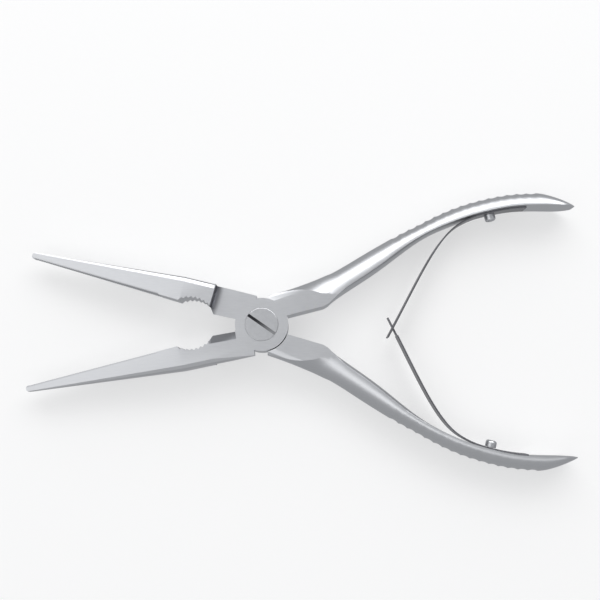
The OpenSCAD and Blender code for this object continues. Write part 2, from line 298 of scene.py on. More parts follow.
GROOVES_END = HANDLE_LEN - END_BEVEL
STATIONS = (steps(ROOT_X, NECK_X, ROOT_STATIONS)
            + steps(NECK_X + ROOT_STEP, GROOVE_START, NECK_STATIONS)
            + steps(GROOVE_START, GROOVES_END, STATIONS_PER_GROOVE * GROOVE_COUNT)[1:]
            + steps(GROOVES_END, HANDLE_LEN, END_STATIONS)[1:])
print("handle: inner side", round(inner_y(BEND_X), 1), "mm off the axis at the bend,",
      round(thickness(BEND_X), 1), "mm thick,", len(STATIONS), "stations")

# %% [markdown]
# The sweep is made as by hand: a disc stands across the root, is pulled into its section,
# and is then extruded from station to station, and scaled at each one. The round back and
# the inner side are scaled by themselves, so the section changes shape on the way. Each
# shallow groove is a push on the middle of the back, which leaves its front and rear edges
# smooth.


# %% Sweep one handle
HANDLE_SIDES = 64
SAME_PLACE, OFF_LINE = 1e-3, 1e-4
GROOVE_INSIDE, GROOVE_REACHES = 1.5, (0.95, 0.75, 0.5)


def stretch(piece, test, centre, factors):
    if pick(piece, "VERT", test):
        bpy.ops.transform.resize(value=factors, center_override=centre)


def stretch_section(piece, x, base, back, inside, width):
    """Scale the round back, the inner side and the width of one section, each by itself."""
    def here(v):
        return abs(v.co.x - x) < SAME_PLACE

    centre = (x, base, MID)
    stretch(piece, lambda v: here(v) and v.co.y > base + OFF_LINE, centre, (1, back, 1))
    stretch(piece, lambda v: here(v) and v.co.y < base - OFF_LINE, centre, (1, inside, 1))
    stretch(piece, here, centre, (1, 1, width))


def section(x):
    """Where the section's widest line is, how far it reaches on each side, and half its width."""
    return inner_y(x) + bulge(x), thickness(x) - bulge(x), bulge(x), half_width(x)


def press_grooves(piece):
    for x in STATIONS:
        push = groove(x)
        if push:
            for reach in GROOVE_REACHES:
                pick(piece, "VERT", lambda v: abs(v.co.x - x) < SAME_PLACE
                     and v.co.y > inner_y(x) + GROOVE_INSIDE
                     and abs(v.co.z - MID) < reach * MID)
                bpy.ops.transform.translate(value=(0, -push / len(GROOVE_REACHES), 0))


def sweep_handle():
    x = STATIONS[0]
    base, back, inside, width = section(x)
    bpy.ops.object.select_all(action="DESELECT")
    bpy.ops.mesh.primitive_circle_add(vertices=HANDLE_SIDES, radius=1, fill_type="NGON",
                                      location=(x, base, MID), rotation=(0, math.pi / 2, 0))
    piece = new_piece("handle")
    place_mesh(piece)
    open_for_edit(piece)
    stretch_section(piece, x, base, back, inside, width)
    for x1 in STATIONS[1:]:
        pick(piece, "FACE", lambda f: all(abs(v.co.x - x) < SAME_PLACE for v in f.verts))
        base1, back1, inside1, width1 = section(x1)
        bpy.ops.mesh.extrude_region_move(
            TRANSFORM_OT_translate={"value": (x1 - x, base1 - base, 0)})
        stretch_section(piece, x1, base1, back1 / back, inside1 / inside, width1 / width)
        x, base, back, inside, width = x1, base1, back1, inside1, width1
    press_grooves(piece)
    bpy.ops.mesh.select_all(action="SELECT")
    bpy.ops.mesh.normals_make_consistent(inside=False)
    close_edit()
    return piece


half = sweep_handle()
print("handle:", len(half.data.polygons), "faces")

# %% [markdown]
# The jaw is a slab cut to its outline seen along the pivot. A toothed hollow for gripping
# pipes comes first, then a smooth land, then fine teeth up to a blunt tip. The teeth are
# part of the outline, so they run straight across the jaw, as a file cuts them.

# %% Sizes of the jaw
STEP_X, CREST_X, HOLLOW_X, HOLLOW_DEPTH = 17.4, 27.4, 21.8, 1.95
JAW_DEPTH, KNEE_DEPTH, TIP_DEPTH, TIP_T = 8.15, 7.7, 1.9, 3.4
JAW_ROOT = BOSS_R + 0.4
BITE, CORNER = 0.04, 0.5
SPARE = 0.5
FINE_START, FINE_END, FINE_PITCH, FINE_DEPTH = 34, JAW_LEN - 1.2, 0.75, 0.3
PIPE_PITCH, PIPE_DEPTH = 1.4, 0.6
BEVEL, STEEP_BEVEL, TIP_OFF = (1.5, 0.8), (0.77, 1.34), 0.45
HOLLOW_R = ((CREST_X - HOLLOW_X) ** 2 + HOLLOW_DEPTH**2) / (2 * HOLLOW_DEPTH)


def hollow(x):
    return HOLLOW_R - HOLLOW_DEPTH - math.sqrt(HOLLOW_R**2 - (x - HOLLOW_X) ** 2) - BITE


def jaw_outline():
    pipe_count = math.floor((CREST_X - STEP_X) / PIPE_PITCH)
    pipe_step = (CREST_X - STEP_X) / pipe_count
    fine_count = math.floor((FINE_END - FINE_START) / FINE_PITCH)
    fine_step = (FINE_END - FINE_START) / fine_count
    points = []
    for k in range(pipe_count):
        x = STEP_X + k * pipe_step
        points += [(-x, hollow(x)), (-x - pipe_step / 2, hollow(x + pipe_step / 2) - PIPE_DEPTH)]
    points += [(-CREST_X, -BITE), (-FINE_START, -BITE)]
    for k in range(fine_count):
        x = FINE_START + k * fine_step
        points += [(-x - fine_step / 2, -FINE_DEPTH - BITE), (-x - fine_step, -BITE)]
    return points + [(CORNER - JAW_LEN, -BITE), (-JAW_LEN, -CORNER),
                     (-JAW_LEN, CORNER - TIP_DEPTH), (CORNER - JAW_LEN, -TIP_DEPTH),
                     (-CREST_X, -KNEE_DEPTH), (-STEP_X, -JAW_DEPTH)]


# %% [markdown]
# Flat planes then thin the jaw towards its tip and bevel its two back edges. Each plane is
# given by three points on it, and everything on its outer side is cut away and capped.


# %% Thin and bevel the jaw
def trim_through(piece, a, b, c, inside):
    a, b, c = Vector(a), Vector(b), Vector(c)
    outward = (b - a).cross(c - a).normalized()
    if outward.dot(Vector(inside) - a) > 0:
        outward = -outward
    trim(piece, a, outward)


def bevel_edge(piece, a, b, side, inside):
    """A wide shallow bevel, then a steep narrow one at its outer edge."""
    for across, fall in (BEVEL, STEEP_BEVEL):
        trim_through(piece, (a[0], a[1] + across, a[2]), (b[0], b[1] + across, b[2]),
                     (b[0], b[1], b[2] - side * fall), inside)


def make_jaw():
    jaw = slab("jaw", jaw_outline(), -SPARE, THICK + SPARE)
    heart = (-CREST_X, -JAW_DEPTH / 2, MID)
    for side in (-1, 1):
        face, tip_face = MID + side * MID, MID + side * TIP_T / 2
        trim_through(jaw, (-CREST_X, 0, face), (-CREST_X, -KNEE_DEPTH, face),
                     (-JAW_LEN, 0, tip_face), heart)
        for a, b in (((-JAW_LEN, -TIP_DEPTH - TIP_OFF, tip_face + side * TIP_OFF),
                      (-CREST_X, -KNEE_DEPTH, face)),
                     ((-CREST_X, -KNEE_DEPTH, face), (-STEP_X, -JAW_DEPTH, face))):
            bevel_edge(jaw, a, b, side, heart)
    return jaw


jaw = make_jaw()
print("jaw:", len(jaw.data.polygons), "faces")

# %% [markdown]
# The plate is the half-thickness part of the lap joint: the round boss, the web that holds
# the side cutter, and a cove that softens the step between the plate and the jaw. The
# cutter's edge is ground with one flat bevel, so a block with its lower side on the plane
# of the bevel is cut away. The other half's boss turns in a round pocket under the handle.
# The outline of the web has three points inside the boss, where they leave no trace.

# %% Plate, cutter and pocket
CUT_NEAR, CUT_FAR, CUT_RISE, CUT_OVERLAP = BOSS_R + 0.25, 16.1, 0.3, 0.85
CUT_BEVEL, CUT_LAND = 2.8, 0.25
WALL_DROP, COVE_R = 0.95, 1.3
WALL_X = STEP_X + 0.02
PLATE_LOW = MID + LAP_GAP / 2
CUT_BLOCK, CUT_BLOCK_LEAD, CUT_PLAY = (CUT_FAR - CUT_NEAR + 6, 16, 8), 2, 0.02
WEB_FADE, WEB_HEART = 0.6, (-6, -3, MID)
COVE_BURIED, COVE_INSET, COVE_STEP = 0.3, 0.1, 15
WEB = [(-STEP_X - 0.3, -JAW_DEPTH), (-NOTCH[0] - 8, -(JAW_DEPTH + JAW_ROOT) / 2),
       (-NOTCH[0], -JAW_ROOT), (-NOTCH[0] + 0.2, -JAW_ROOT + 1.2), (-4, -6), (-4, 0),
       (-CUT_NEAR, CUT_RISE), (-CUT_FAR, CUT_OVERLAP), (-STEP_X - 0.1, -WALL_DROP)]


def cutter_block():
    along_edge = Vector((CUT_NEAR - CUT_FAR, CUT_OVERLAP - CUT_RISE, 0)).normalized()
    inward = Vector((-along_edge.y, along_edge.x, 0))
    down_slope = (inward * CUT_BEVEL + Vector((0, 0, MID - CUT_LAND))).normalized()
    away = along_edge.cross(down_slope).normalized()
    if away.z < 0:
        away = -away
    start = Vector((-CUT_NEAR + CUT_PLAY, CUT_RISE, PLATE_LOW + CUT_LAND))
    length, width, height = CUT_BLOCK
    centre = (start + along_edge * length / 2 + down_slope * (width / 2 - CUT_BLOCK_LEAD)
              + away * height / 2)
    turned = Matrix((along_edge, down_slope, away)).transposed().to_4x4()
    return block(CUT_BLOCK, Matrix.Translation(centre) @ turned)


def cove():
    """A prism with one hollow side, in the corner between the plate and the step of the jaw."""
    arc = [(-WALL_X + COVE_R * (1 - math.cos(math.radians(a))),
            PLATE_LOW - COVE_R * (1 - math.sin(math.radians(a))))
           for a in range(0, 91, COVE_STEP)]
    far, top = -WALL_X - COVE_BURIED, PLATE_LOW + COVE_BURIED
    outline = [(far, top), (far, PLATE_LOW - COVE_R)] + arc + [(-WALL_X + COVE_R, top)]
    piece = slab("cove", outline, 0, JAW_DEPTH - WALL_DROP - 2 * COVE_INSET)
    open_for_edit(piece)
    bpy.ops.mesh.select_all(action="SELECT")
    bpy.ops.transform.rotate(value=-math.pi / 2, orient_axis="X", center_override=(0, 0, 0))
    bpy.ops.transform.translate(value=(0, -WALL_DROP - COVE_INSET, 0))
    close_edit()
    return piece


def ring(radius, start=0, stop=360, sides=128):
    count = round(sides * (stop - start) / 360)
    turns = [math.radians(start + (stop - start) * (k + 0.5) / count) for k in range(count)]
    return [(radius * math.cos(t), radius * math.sin(t)) for t in turns]


def make_plate():
    plate = slab("web", WEB, -1.5 * SPARE, THICK + 1.5 * SPARE)
    fade_end = (1 - NOTCH[0], -JAW_ROOT - WEB_FADE, THICK + WEB_FADE)
    bevel_edge(plate, (-STEP_X, -JAW_DEPTH, THICK), fade_end, 1, WEB_HEART)
    combine(plate, cutter_block(), "DIFFERENCE")
    return combine(plate, slab("boss", ring(BOSS_R), -2 * SPARE, THICK + 2 * SPARE), "UNION")


# %% [markdown]
# The flat faces of the joint run out into the handle's round back, and grinding has rolled
# their outer edges. Three flat cuts of rising slope along each edge do that, with the same
# box each time. Then the blank, which is a little too thick, is put together and ground to
# its thickness.

# %% Put one half together
ROOT_CUTS = ((2.6, 0.5), (1.5, 0.95), (0.7, 1.5))
ROOT_BLOCK, ROOT_SHIFT, ROOT_LIFT = (22, 16, 8), (8, 5, 4), 0.013
LAP_SIDE, LAP_BELOW = -12, -20


def round_root(piece):
    """Three flat cuts of rising slope along each outer edge of the handle's root."""
    start, stop = Vector((*NOTCH, 0)), Vector((SHOULDER_X, SHOULDER_GAP + ROOT_T, 0))
    way = (stop - start).normalized()
    out = Vector((-way.y, way.x, 0))
    for side in (-1, 1):
        for across, fall in ROOT_CUTS:
            down = (out * across + Vector((0, 0, -side * fall))).normalized()
            length = side * way
            away = length.cross(down)
            face = start - out * across + Vector((0, 0, MID + side * (MID + ROOT_LIFT)))
            centre = face + way * ROOT_SHIFT[0] + down * ROOT_SHIFT[1] + away * ROOT_SHIFT[2]
            turned = Matrix((length, down, away)).transposed().to_4x4()
            combine(piece, block(ROOT_BLOCK, Matrix.Translation(centre) @ turned), "DIFFERENCE")


round_root(half)
combine(half, make_plate(), "UNION")
combine(half, jaw, "UNION")
lap = [(-WALL_X, LAP_SIDE), (0, LAP_SIDE)] + ring(POCKET_R, -90, 90) + [(-WALL_X, POCKET_R)]
combine(half, slab("cut", lap, LAP_BELOW, PLATE_LOW), "DIFFERENCE")
combine(half, cove(), "UNION")
trim(half, (0, 0, THICK), (0, 0, 1))
trim(half, (0, 0, 0), (0, 0, -1))
print("half:", len(half.data.polygons), "faces before its edges are softened")

# %% [markdown]
# A ground part never has a razor edge: deburring leaves a thin rounded line that catches
# the light. Flat faces are first made whole again, because a Boolean leaves extra lines on
# them. Then every sharp edge that is not part of the fine teeth is bevelled a little.


# %% Soften the edges
EDGE, SHARP_ANGLE, SMOOTH_ANGLE = 0.16, 38, 20
SAME_POINT, SAME_FACE_ANGLE = 0.004, 0.2
TEETH_BAND, SHORTEST_EDGE = 3.2, 0.12


def soften(piece, width, least_angle, keep):
    open_for_edit(piece)
    bpy.ops.mesh.select_mode(type="VERT")
    bpy.ops.mesh.select_all(action="SELECT")
    bpy.ops.mesh.remove_doubles(threshold=SAME_POINT)
    bpy.ops.mesh.dissolve_limited(angle_limit=math.radians(SAME_FACE_ANGLE))
    sharp = math.radians(least_angle)
    count = pick(piece, "EDGE", lambda e: len(e.link_faces) == 2
                 and e.calc_face_angle(0) > sharp and keep(e))
    bpy.ops.mesh.bevel(offset=width, offset_type="OFFSET", segments=2, profile=0.5,
                       clamp_overlap=True, loop_slide=False, affect="EDGES")
    close_edit()
    return count


def shade(piece):
    only(piece)
    bpy.ops.object.shade_smooth_by_angle(angle=math.radians(SMOOTH_ANGLE))
    weigh = piece.modifiers.new("weigh", "WEIGHTED_NORMAL")
    weigh.keep_sharp = True
    bpy.ops.object.modifier_apply(modifier=weigh.name)


def clear_of_teeth(edge):
    middle = (edge.verts[0].co + edge.verts[1].co) / 2
    in_teeth = middle.x < -STEP_X + 1 and middle.y > -TEETH_BAND
    return not in_teeth and edge.calc_length() > SHORTEST_EDGE


edges = soften(half, EDGE, SHARP_ANGLE, clear_of_teeth)
print("half:", edges, "edges softened,", len(half.data.polygons), "faces")

# %% [markdown]
# Both halves come from the same forging. The second is a copy with its own mesh, turned
# over, so that its plate lies under the first. Then each is drilled: the front half has a
# counterbore that lets the screw head sit flush. Last, each is turned by half the opening.

# %% Two halves from one
SCREW_R, HEAD_R, HEAD_T = 3.2, 5.2, 2.2
PLAY = 0.04
ABOVE_HEAD, BELOW_SHANK, ABOVE_SHANK = THICK + 3, -5, THICK + 4


def copy_of(piece, name):
    only(piece)
    bpy.ops.object.duplicate(linked=False)
    return new_piece(name)


def turn(piece, degrees, axis="Z"):
    only(piece)
    piece.rotation_euler["XYZ".index(axis)] = math.radians(degrees)
    place_mesh(piece)


def turn_over(piece):
    turn(piece, 180, "X")
    piece.location.z = THICK
    place_mesh(piece)


def drill(piece, radius, low, high):
    combine(piece, slab("cut", ring(radius + PLAY), low, high), "DIFFERENCE")


half.name = half.data.name = "front_half_steel"
front, back = half, copy_of(half, "back_half_steel")
turn_over(back)
drill(front, HEAD_R, THICK - HEAD_T, ABOVE_HEAD)
for piece in (front, back):
    drill(piece, SCREW_R, BELOW_SHANK, ABOVE_SHANK)
turn(front, OPEN)
turn(back, -OPEN)
for piece in (front, back):
    shade(piece)
print("halves:", [len(piece.data.polygons) for piece in (front, back)], "faces")

# %% [markdown]
# The pivot screw is turned from bar: a wide flush head over a shank. It starts as a
# cylinder the size of the head. Its lower face is inset to the shank's radius and extruded
# down to the underside. A narrow bevel round the head leaves the thin ring that shows where
# it meets the half, and a block cuts the driver slot.

# %% Pivot screw
SLOT_W, SLOT_DEPTH, SLOT_ANGLE = 0.95, 1.1, -34
HEAD_LIFT, HEAD_RIM = 0.03, 0.14


def turned_screw(name, radius, low, high, shank_r, shank_low, rim, rim_steps):
    piece = rod(name, radius, low, high)
    open_for_edit(piece)
    pick(piece, "FACE", lambda f: f.normal.z < -0.9)
    bpy.ops.mesh.inset(thickness=radius - shank_r)
    bpy.ops.mesh.extrude_region_move(TRANSFORM_OT_translate={"value": (0, 0, shank_low - low)})
    pick(piece, "EDGE", lambda e: all(v.co.z > high - SAME_PLACE for v in e.verts))
    bpy.ops.mesh.bevel(offset=rim, segments=rim_steps, profile=0.5, affect="EDGES")
    close_edit()
    return piece


def cut_slot(piece, width, floor, top, degrees, reach):
    size = (2 * reach, width, top - floor + 2)
    place = Matrix.Rotation(math.radians(degrees), 4, "Z")
    cutter = block(size, Matrix.Translation((0, 0, floor + size[2] / 2)) @ place)
    combine(piece, cutter, "DIFFERENCE")


pivot = turned_screw("pivot_screw_steel", HEAD_R, THICK - HEAD_T + HEAD_LIFT, THICK,
                     SCREW_R, 0, HEAD_RIM, 2)
cut_slot(pivot, SLOT_W, THICK - SLOT_DEPTH, THICK, SLOT_ANGLE, HEAD_R + 1)
shade(pivot)
print("pivot screw:", len(pivot.data.polygons), "faces")

# %% [markdown]
# Each leaf spring is a strip of rolled spring steel. Its foot lies along the inner face of
# a handle under a small screw, and then it lifts off in a long sweep to the middle, where
# the slotted leaf and the one with a tongue pass through each other. The strip is a slab
# whose outline follows one line on both sides. A curve object would do as well, but its
# ends would be harder to cut.

# %% The line of a leaf
LEAF_T, LEAF_W, FOOT_X = 0.5, 5.9, 91.5
CROSS_X, PAST_CROSS, LEAF_SLOPE = 41.6, 3.6, 47
LEAD_IN, LEAD_OUT = 9, 22
LIFT, LIFT_RUN, FOOT_GAP = 0.65, 7, 0.02


def foot_y(x):
    run = clamp((BEND_X + LIFT_RUN - x) / LIFT_RUN)
    return inner_y(x) - LEAF_T / 2 - FOOT_GAP - LIFT * run**2


def leaf_line():
    bend = Vector((BEND_X, foot_y(BEND_X)))
    start = (Vector((BEND_X + 1, foot_y(BEND_X + 1))) - bend).normalized()
    end = Vector((math.cos(math.radians(LEAF_SLOPE)), math.sin(math.radians(LEAF_SLOPE))))
    turn_open = math.radians(OPEN)
    free = CROSS_X * Vector((math.cos(turn_open), -math.sin(turn_open))) - PAST_CROSS * end
    a, b, c, d = bend, bend - LEAD_IN * start, free + LEAD_OUT * end, free
    blade = [(1 - t)**3 * a + 3 * t * (1 - t)**2 * b + 3 * t**2 * (1 - t) * c + t**3 * d
             for t in steps(0, 1, 26)[1:]]
    return [Vector((x, foot_y(x))) for x in steps(FOOT_X, BEND_X, 16)] + blade, free, end


def strip_outline(line, thick):
    sides = {1: [], -1: []}
    for k, point in enumerate(line):
        run = (line[min(k + 1, len(line) - 1)] - line[max(k - 1, 0)]).normalized()
        for side in sides:
            sides[side].append(tuple(point + side * thick / 2 * Vector((-run.y, run.x))))
    return sides[1] + sides[-1][::-1]


LEAF_LINE, FREE_END, FREE_WAY = leaf_line()
leaf_length = sum((b - a).length for a, b in zip(LEAF_LINE, LEAF_LINE[1:]))
print("leaf:", round(leaf_length, 1), "mm long")

# %% [markdown]
# The slot is cut near the free end of one leaf. The other keeps a narrow tongue in the
# middle of its width. All edges are broken a little.

# %% Two leaf springs
TONGUE_W, TONGUE_PLAY, TONGUE_LEN = 2.1, 0.3, 6.4
SLOT_NEAR, SLOT_FAR = 1.2, 6.8
LEAF_EDGE, LEAF_CUT_DEPTH, LEAF_SHARP_ANGLE = 0.06, 4, 1


def at_free_end(near, far, low, high):
    """A block across the leaf, from near to far off its free end, between two heights."""
    turn_free = Matrix.Rotation(math.atan2(FREE_WAY.y, FREE_WAY.x), 4, "Z")
    place = Matrix.Translation((*FREE_END, 0)) @ turn_free
    centre = Matrix.Translation(((near + far) / 2, 0, (low + high) / 2))
    return block((far - near, LEAF_CUT_DEPTH, high - low), place @ centre)


def make_leaf(name, slotted):
    leaf = slab(name, strip_outline(LEAF_LINE, LEAF_T), MID - LEAF_W / 2, MID + LEAF_W / 2)
    half_slot = TONGUE_W / 2 + TONGUE_PLAY
    if slotted:
        combine(leaf, at_free_end(SLOT_NEAR, SLOT_FAR, MID - half_slot, MID + half_slot),
                "DIFFERENCE")
    else:
        for low, high in ((0, MID - TONGUE_W / 2), (MID + TONGUE_W / 2, THICK)):
            combine(leaf, at_free_end(-2, TONGUE_LEN, low, high), "DIFFERENCE")
    open_for_edit(leaf)
    pick(leaf, "EDGE", lambda e: len(e.link_faces) == 2
         and e.calc_face_angle(0) > LEAF_SHARP_ANGLE)
    bpy.ops.mesh.bevel(offset=LEAF_EDGE, segments=2, profile=0.5, clamp_overlap=True,
                       affect="EDGES")
    close_edit()
    return leaf


upper_leaf = make_leaf("upper_leaf_spring", True)
lower_leaf = make_leaf("lower_leaf_spring", False)
turn(upper_leaf, OPEN)
turn_over(lower_leaf)
turn(lower_leaf, -OPEN)
for piece in (upper_leaf, lower_leaf):
    shade(piece)
print("leaves:", [len(piece.data.polygons) for piece in (upper_leaf, lower_leaf)], "faces")

# %% [markdown]
# A small screw clamps each leaf. Its head is domed: the same turning as the pivot screw,
# with a wide rounded rim. It is made upright and then laid on the slope of the handle.

# %% Spring screws
SPRING_X, SPRING_HEAD_R, SPRING_HEAD_H = 79.9, 1.75, 2.2
SPRING_SHANK_R, SPRING_DEPTH, SEAT = 0.9, 3, LEAF_T + 0.1
DOME, DOME_STEPS, SPRING_SLOT = 0.85, 6, 0.5


def make_spring_screw(name):
    top = SEAT + SPRING_HEAD_H
    piece = turned_screw(name, SPRING_HEAD_R, SEAT, top, SPRING_SHANK_R, -SPRING_DEPTH,
                         DOME, DOME_STEPS)
    cut_slot(piece, SPRING_SLOT, top - SPRING_SLOT, top, 0, 3)
    rise = math.atan2(inner_y(SPRING_X + 1) - inner_y(SPRING_X - 1), 2)
    piece.matrix_world = (Matrix.Translation((SPRING_X, inner_y(SPRING_X), MID))
                          @ Matrix.Rotation(rise, 4, "Z") @ Matrix.Rotation(math.pi / 2, 4, "X"))
    place_mesh(piece)
    return piece


upper_screw = make_spring_screw("upper_spring_screw_steel")
lower_screw = copy_of(upper_screw, "lower_spring_screw_steel")
turn(upper_screw, OPEN)
turn_over(lower_screw)
turn(lower_screw, -OPEN)
for piece in (upper_screw, lower_screw):
    shade(piece)
print("spring screw:", len(upper_screw.data.polygons), "faces")

# %% [markdown]
# Now the pieces become metres, the unit of the frame, with their places in their meshes.

# %% From millimetres to metres
PIECES = (front, back, pivot, upper_leaf, lower_leaf, upper_screw, lower_screw)
for piece in PIECES:
    only(piece)
    piece.scale = (MM, MM, MM)
    place_mesh(piece)
print("pieces:", [piece.name for piece in PIECES])

# %% [markdown]
# Shader maths reads best as plain expressions. This small class holds one socket, and its
# operators add the Math nodes. Any other node comes from `node`, which takes the node's
# kind, its settings and the values or links of its inputs.


# %% Helper: shader maths
class Wire:
    def __init__(self, tree, socket):
        self.tree, self.socket = tree, socket

    def node(self, kind, settings=None, output=0, **inputs):
        made = self.tree.nodes.new("ShaderNode" + kind)
        for name, value in (settings or {}).items():
            setattr(made, name, value)
        for name, value in inputs.items():
            place = int(name[1:]) if name[1:].isdigit() else name.replace("_", " ")
            self.feed(value, made.inputs[place])
        return Wire(self.tree, made.outputs[output])

    def feed(self, value, place):
        if isinstance(value, Wire):
            self.tree.links.new(value.socket, place)
        else:
            place.default_value = value

    def maths(self, how, a, b=0.0):
        return self.node("Math", {"operation": how}, n0=a, n1=b)

    def __add__(self, other):
        return self.maths("ADD", self, other)

    def __mul__(self, other):
        return self.maths("MULTIPLY", self, other)

    def __sub__(self, other):
        return self.maths("SUBTRACT", self, other)

    def __rsub__(self, other):
        return self.maths("SUBTRACT", other, self)

    __radd__ = __add__
    __rmul__ = __mul__

    def axes(self):
        return [self.node("SeparateXYZ", output=axis, Vector=self) for axis in range(3)]

    def between(self, low, high):
        """0 below low, 1 above high, both in millimetres, and a smooth rise between them."""
        return self.node("MapRange", {"interpolation_type": "SMOOTHSTEP"}, Value=self,
                         From_Min=low * MM, From_Max=high * MM)

    def blend_colours(self, first, second):
        return self.node("MixRGB", n0=self, n1=first, n2=second)


def steel(name):
    material = bpy.data.materials.new(name)
    material.use_nodes = True
    tree = material.node_tree
    shader = tree.nodes["Principled BSDF"]
    shader.inputs["Metallic"].default_value = 1
    place = Wire(tree, tree.nodes.new("ShaderNodeTexCoord").outputs["Object"])
    return material, shader, place


def grain(place, scale, stretch=(1, 1, 1), detail=2.0):
    laid = place.node("Mapping", Vector=place, Scale=stretch)
    return laid.node("TexNoise", Vector=laid, Scale=scale, Detail=detail)


# %% [markdown]
# Three small places on each half look darker than the plain steel beside them: the corner
#  of the step, the ground bevel of the cutter and the strip of fine teeth. Light and shade
#  give a part of that, and masks by position paint the rest of that shade into the colour,
#  matched in strength. The masks are measured on the half as it lies shut, so its own turn
#  is undone first.

# %% Helper: the painted shade of a half
STEP_WALL, STEP_COVE, STEP_DROP = (-WALL_X - 0.04, -WALL_X), (-17.2, -14.8), (-0.4, -0.1)
CUT_START, CUT_STOP = (-17, -16.8), (-CUT_NEAR, -CUT_NEAR + 0.2)
CUT_INSIDE, CUT_LOW, CUT_TOP = (CUT_BEVEL, CUT_BEVEL + 0.2), (-5.9, -5.7), (-0.3, -0.1)
TEETH_SIDE, TEETH_STOP = (0.2, 0.7), (-FINE_START - 0.5, -FINE_START + 0.5)
STEP_DARK, CUT_DARK, TEETH_DARK = 0.8, 0.4, 0.25


def painted_shade_places(place, side):
    """0 on plain steel and up to 1 where the painted shade is darkest. Side is 1 in front and -1
    at the back.
    """
    x, y, z = place.axes()
    run, rise = math.cos(math.radians(OPEN)), math.sin(math.radians(OPEN))
    along, inward = x * run + y * (side * rise), x * rise - y * (side * run)
    above = (z - MID * MM) * -side
    step = (along.between(*STEP_WALL) * (1 - along.between(*STEP_COVE))
            * above.between(*STEP_DROP))
    cutter = (along.between(*CUT_START) * (1 - along.between(*CUT_STOP))
              * above.between(*CUT_LOW) * (1 - inward.between(*CUT_INSIDE))
              * (1 - above.between(*CUT_TOP)))
    teeth = (1 - inward.between(*TEETH_SIDE)) * (1 - along.between(*TEETH_STOP))
    return step * STEP_DARK + cutter * CUT_DARK + teeth * TEETH_DARK


# %% [markdown]
# The halves are bright steel. The joint, the jaws and the sides of the teeth are ground to
# a satin face, with very fine lines along the tool. The handles are buffed a little
# smoother. Large soft patches in the roughness are what handling leaves on such a surface.

# %% Satin steel of the halves
BUFFED = (18, 34)
SATIN_LOW, SATIN_HIGH = (0.70, 0.71, 0.73, 1), (0.80, 0.81, 0.83, 1)
# Colour of the painted shade in the step corner, on the cutter bevel and along the fine teeth.
PAINTED_SHADE_COLOUR = (0.10, 0.10, 0.12, 1)


def half_steel(name, side):
    material, shader, place = steel(name)
    buffed = place.axes()[0].between(*BUFFED)
    lines = grain(place, 1100, (0.3, 2.2, 2.2), 4.0)
    patches = grain(place, 55)
    rough = 0.36 - buffed * 0.02 + (lines - 0.5) * 0.06 + (patches - 0.5) * 0.08
    tone = (lines - 0.5) * 0.7 + (patches - 0.5) * 0.25 + 0.5
    bright = tone.blend_colours(SATIN_LOW, SATIN_HIGH)
    place.feed(rough, shader.inputs["Roughness"])
    # Painted shade is blended into the colour at the step corner, the cutter bevel and the fine
    # teeth.
    place.feed(painted_shade_places(place, side).blend_colours(bright, PAINTED_SHADE_COLOUR),
               shader.inputs["Base Color"])
    place.feed(place.node("Bump", Strength=0.25, Distance=0.00002, Height=lines),
               shader.inputs["Normal"])
    return material


# %% [markdown]
# The screws are turned steel with a finer grain. The pivot screw's slot is deep and narrow,
#  and shade is painted into it, more at one end. The leaf springs are made of a darker rolled
#  steel.

# %% Turned and rolled steel
SLOT_FOOT, SLOT_MOUTH, SLOT_RUN = (-0.2, -0.1), (0.7, 0.9), (-3, 5)
SLOT_DARK, SLOT_PALER = 0.95, 0.6
TURNED_LOW, TURNED_HIGH = (0.68, 0.69, 0.71, 1), (0.78, 0.79, 0.81, 1)
SLOT_PAINTED_SHADE = (0.03, 0.03, 0.035, 1)


def pivot_steel():
    """Turned steel with shade painted into its driver slot, more so at one end."""
    material, shader, place = steel("turned_pivot_steel")
    x, y, z = place.axes()
    turned = grain(place, 1500, (1, 1, 0.3), 3.0)
    angle = math.radians(SLOT_ANGLE)
    along = x * math.cos(angle) + y * math.sin(angle)
    foot, mouth = ([THICK - SLOT_DEPTH + height for height in band]
                   for band in (SLOT_FOOT, SLOT_MOUTH))
    in_slot = z.between(*foot) * (1 - z.between(*mouth))
    # Painted shade in the driver slot, strongest at one end and paler towards the other.
    painted_slot_shade = in_slot * (SLOT_DARK - along.between(*SLOT_RUN) * SLOT_PALER)
    bright = turned.blend_colours(TURNED_LOW, TURNED_HIGH)
    place.feed(painted_slot_shade.blend_colours(bright, SLOT_PAINTED_SHADE), shader.inputs["Base Color"])
    place.feed(0.33 + (turned - 0.5) * 0.1, shader.inputs["Roughness"])
    return material


def plain_steel(name, dark, light, roughness, scale, stretch):
    material, shader, place = steel(name)
    lines = grain(place, scale, stretch, 3.0)
    place.feed(roughness + (lines - 0.5) * 0.14, shader.inputs["Roughness"])
    place.feed(lines.blend_colours(dark, light), shader.inputs["Base Color"])
    place.feed(place.node("Bump", Strength=0.2, Distance=0.00001, Height=lines),
               shader.inputs["Normal"])
    return material


FRONT_STEEL = half_steel("front_satin_steel", 1)
BACK_STEEL = half_steel("back_satin_steel", -1)
PIVOT_STEEL = pivot_steel()
SCREW_STEEL = plain_steel("turned_steel", (0.66, 0.67, 0.69, 1), (0.80, 0.81, 0.83, 1), 0.3,
                          1500, (1, 1, 0.3))
SPRING_STEEL = plain_steel("rolled_spring_steel", (0.18, 0.18, 0.19, 1), (0.34, 0.34, 0.36, 1),
                           0.25, 1200, (0.3, 0.3, 2))
for piece, finish in zip(PIECES, (FRONT_STEEL, BACK_STEEL, PIVOT_STEEL, SPRING_STEEL,
                                  SPRING_STEEL, SCREW_STEEL, SCREW_STEEL)):
    piece.data.materials.clear()
    piece.data.materials.append(finish)
for name, node in frame["nodes"].items():
    node.data.materials.clear()
    node.data.materials.append(FRONT_STEEL if "half" in name else
                               SPRING_STEEL if "leaf" in name else SCREW_STEEL)
